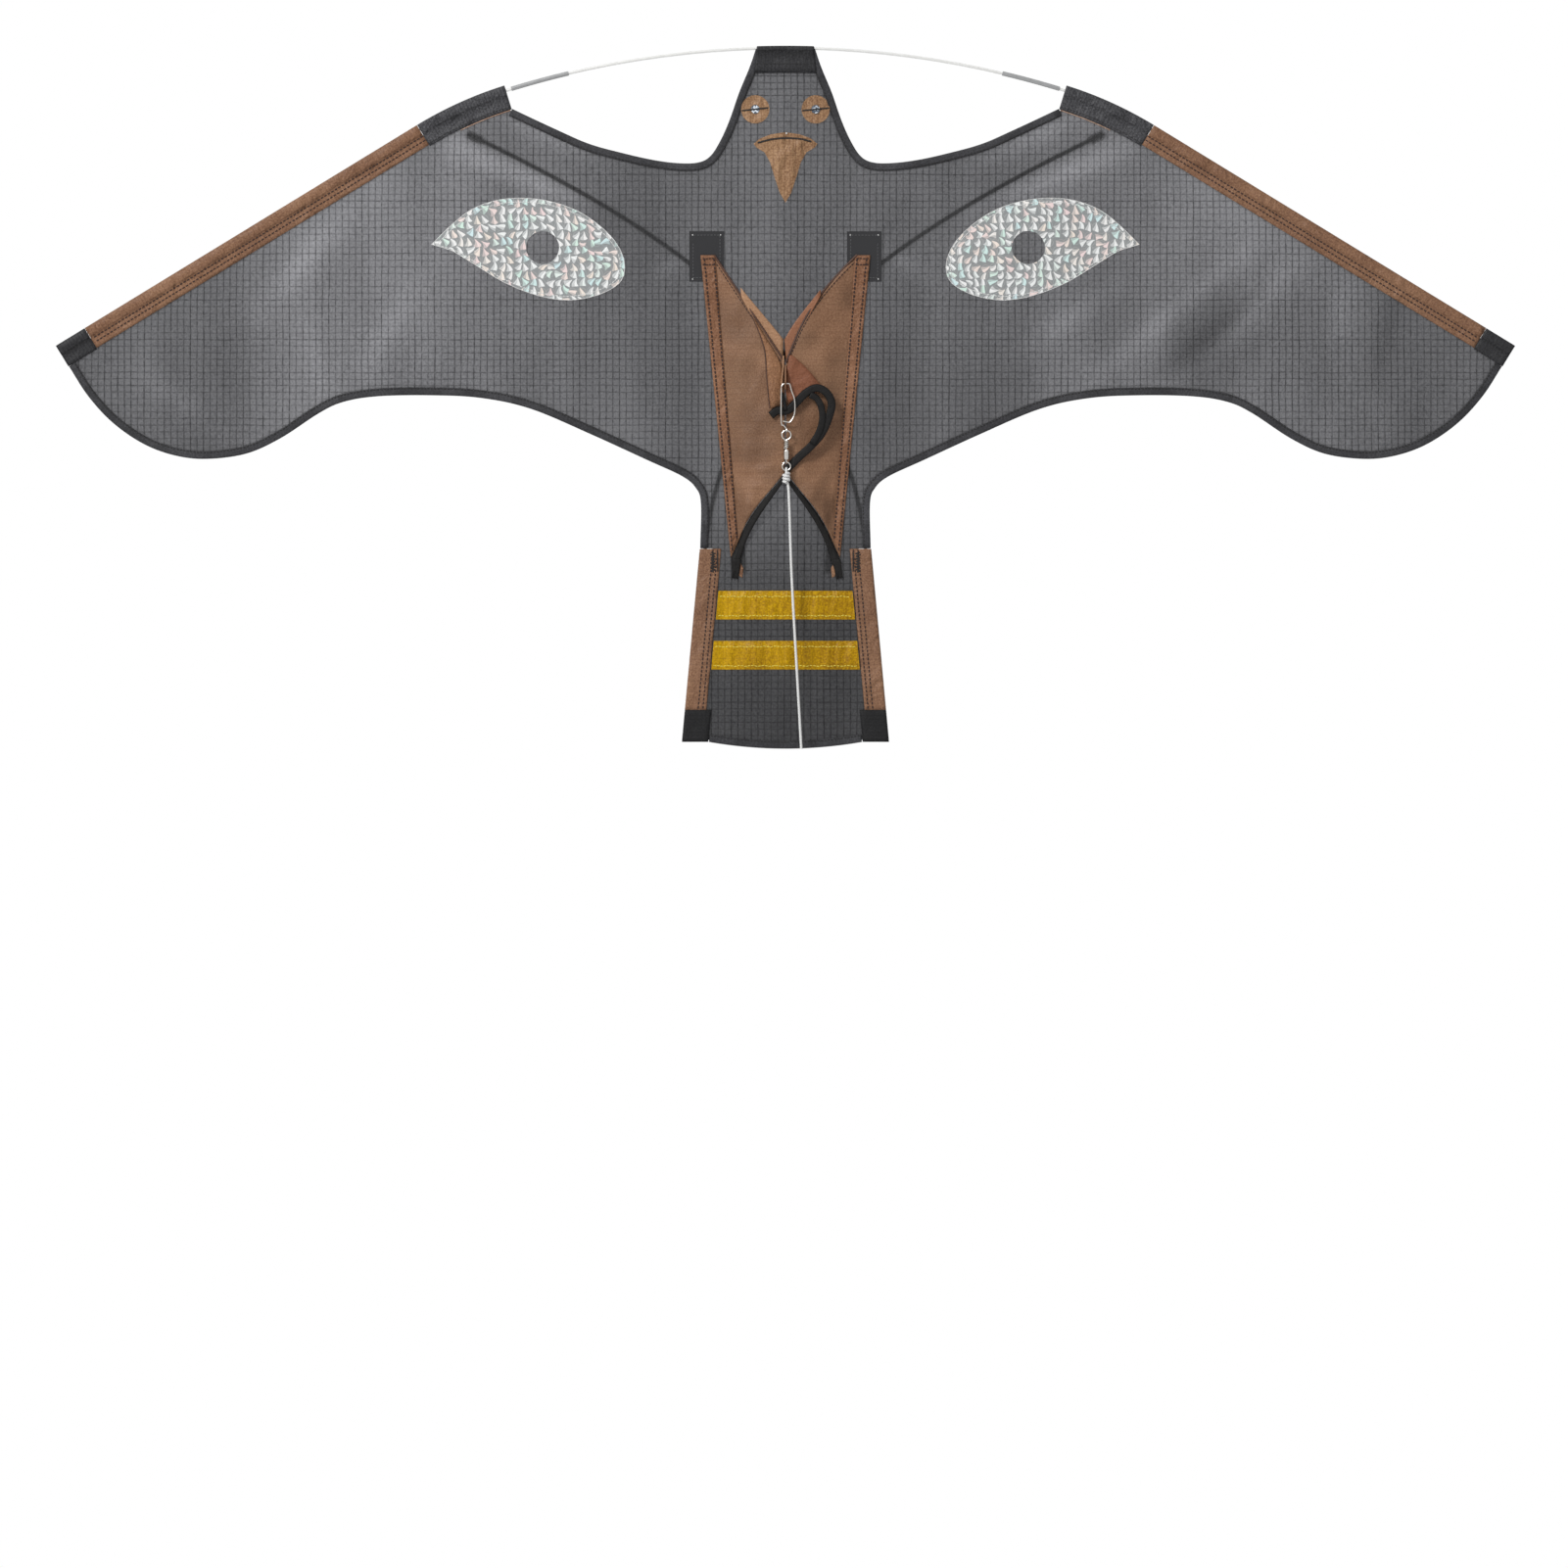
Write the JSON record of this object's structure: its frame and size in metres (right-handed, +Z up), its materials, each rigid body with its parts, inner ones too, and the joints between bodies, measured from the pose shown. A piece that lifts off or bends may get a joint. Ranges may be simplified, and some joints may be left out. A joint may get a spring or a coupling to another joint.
{
  "type": "bird scarer kite",
  "caption": "Hawk-shaped bird scarer kite in grey ripstop with holographic wing eyes, glass-fibre rods, a limp keel, a snap swivel and its line.",
  "frame": {"origin": "on the axis of the leading spar, in the middle of the head pocket", "axes": "+X towards the kite's left wing as seen from its back, which is the right of the front view; +Z up towards the spar; the front with the keel and line faces -Y"},
  "size_m": [1.3054, 0.0302, 0.6292],
  "materials": {
    "grey_ripstop": "grey ripstop with a woven grid, thin enough to see a rod through",
    "black_tape": "black polyester cloth and bias tape",
    "brown_cloth": "brown polyester ripstop",
    "tan_cloth": "tan polyester ripstop",
    "yellow_cloth": "mustard yellow polyester ripstop",
    "silver_film": "silver holographic film with small facets",
    "white_rod": "white pultruded glass fibre",
    "grey_tube": "grey plastic ferrule",
    "black_plastic": "black moulded plastic",
    "nickel_wire": "nickel plated wire and brass barrel, lightly worn",
    "white_line": "white braided polyester line"
  },
  "bodies": {
    "kite": {"sail": "grey_ripstop", "head_pocket": "black_tape", "neck_binding_left": "black_tape", "neck_binding_right": "black_tape", "trailing_binding_left": "black_tape", "trailing_binding_right": "black_tape", "tail_hem": "black_tape", "shoulder_sleeve_left": "black_tape", "shoulder_sleeve_right": "black_tape", "tip_pocket_left": "black_tape", "tip_pocket_right": "black_tape", "leading_sleeve_left": "brown_cloth", "leading_sleeve_right": "brown_cloth", "spar_centre": "white_rod", "spar_left": "white_rod", "spar_right": "white_rod", "ferrule_left": "grey_tube", "ferrule_right": "grey_tube", "cross_rod_left": "white_rod", "cross_rod_right": "white_rod", "rod_cap_left": "black_plastic", "rod_cap_right": "black_plastic", "shoulder_tab_left": "black_tape", "shoulder_tab_right": "black_tape", "tail_sleeve_left": "brown_cloth", "tail_sleeve_right": "brown_cloth", "tail_pocket_left": "black_tape", "tail_pocket_right": "black_tape", "tail_band_upper": "yellow_cloth", "tail_band_lower": "yellow_cloth", "wing_eye_left": "silver_film", "wing_eye_right": "silver_film", "head_eye_left": "tan_cloth", "head_eye_right": "tan_cloth", "sequin_left": "silver_film", "sequin_right": "silver_film", "beak": "tan_cloth", "keel_patch_left": "black_tape", "keel_patch_right": "black_tape", "keel_panel_left": "brown_cloth", "keel_panel_right": "brown_cloth", "keel_binding": "black_tape", "keel_nose": "brown_cloth", "keel_nose_binding": "black_tape", "nose_tab": "brown_cloth"},
    "snap": {"snap_leg": "nickel_wire"},
    "snap_bow_body": {"snap_bow": "nickel_wire"},
    "swivel_ring": {"swivel_upper": "nickel_wire"},
    "barrel": {"swivel_barrel": "nickel_wire"},
    "line_end": {"swivel_lower": "nickel_wire", "line_knot": "white_line", "line": "white_line"}
  },
  "joints": [
    {"name": "snap_swing", "type": "hinge", "parent": "kite", "child": "snap", "pos_m": [0, -0.018, -0.301], "axis": [1, 0, 0], "range_deg": [-75, 0]},
    {"name": "bow_open", "type": "hinge", "parent": "snap", "child": "snap_bow_body", "pos_m": [0.0016, -0.018, -0.301], "axis": [0, -1, 0], "range_deg": [0, 20], "stiffness_Nm_per_rad": 0.02},
    {"name": "swivel_swing", "type": "hinge", "parent": "snap", "child": "swivel_ring", "pos_m": [0.0008, -0.018, -0.3428], "axis": [1, 0, 0], "range_deg": [-70, 0]},
    {"name": "barrel_turn", "type": "hinge", "parent": "swivel_ring", "child": "barrel", "pos_m": [0.0008, -0.018, -0.3602], "axis": [0, 0, 1], "continuous": true},
    {"name": "line_turn", "type": "hinge", "parent": "barrel", "child": "line_end", "pos_m": [0.0008, -0.018, -0.3686], "axis": [0, 0, 1], "continuous": true}
  ]
}
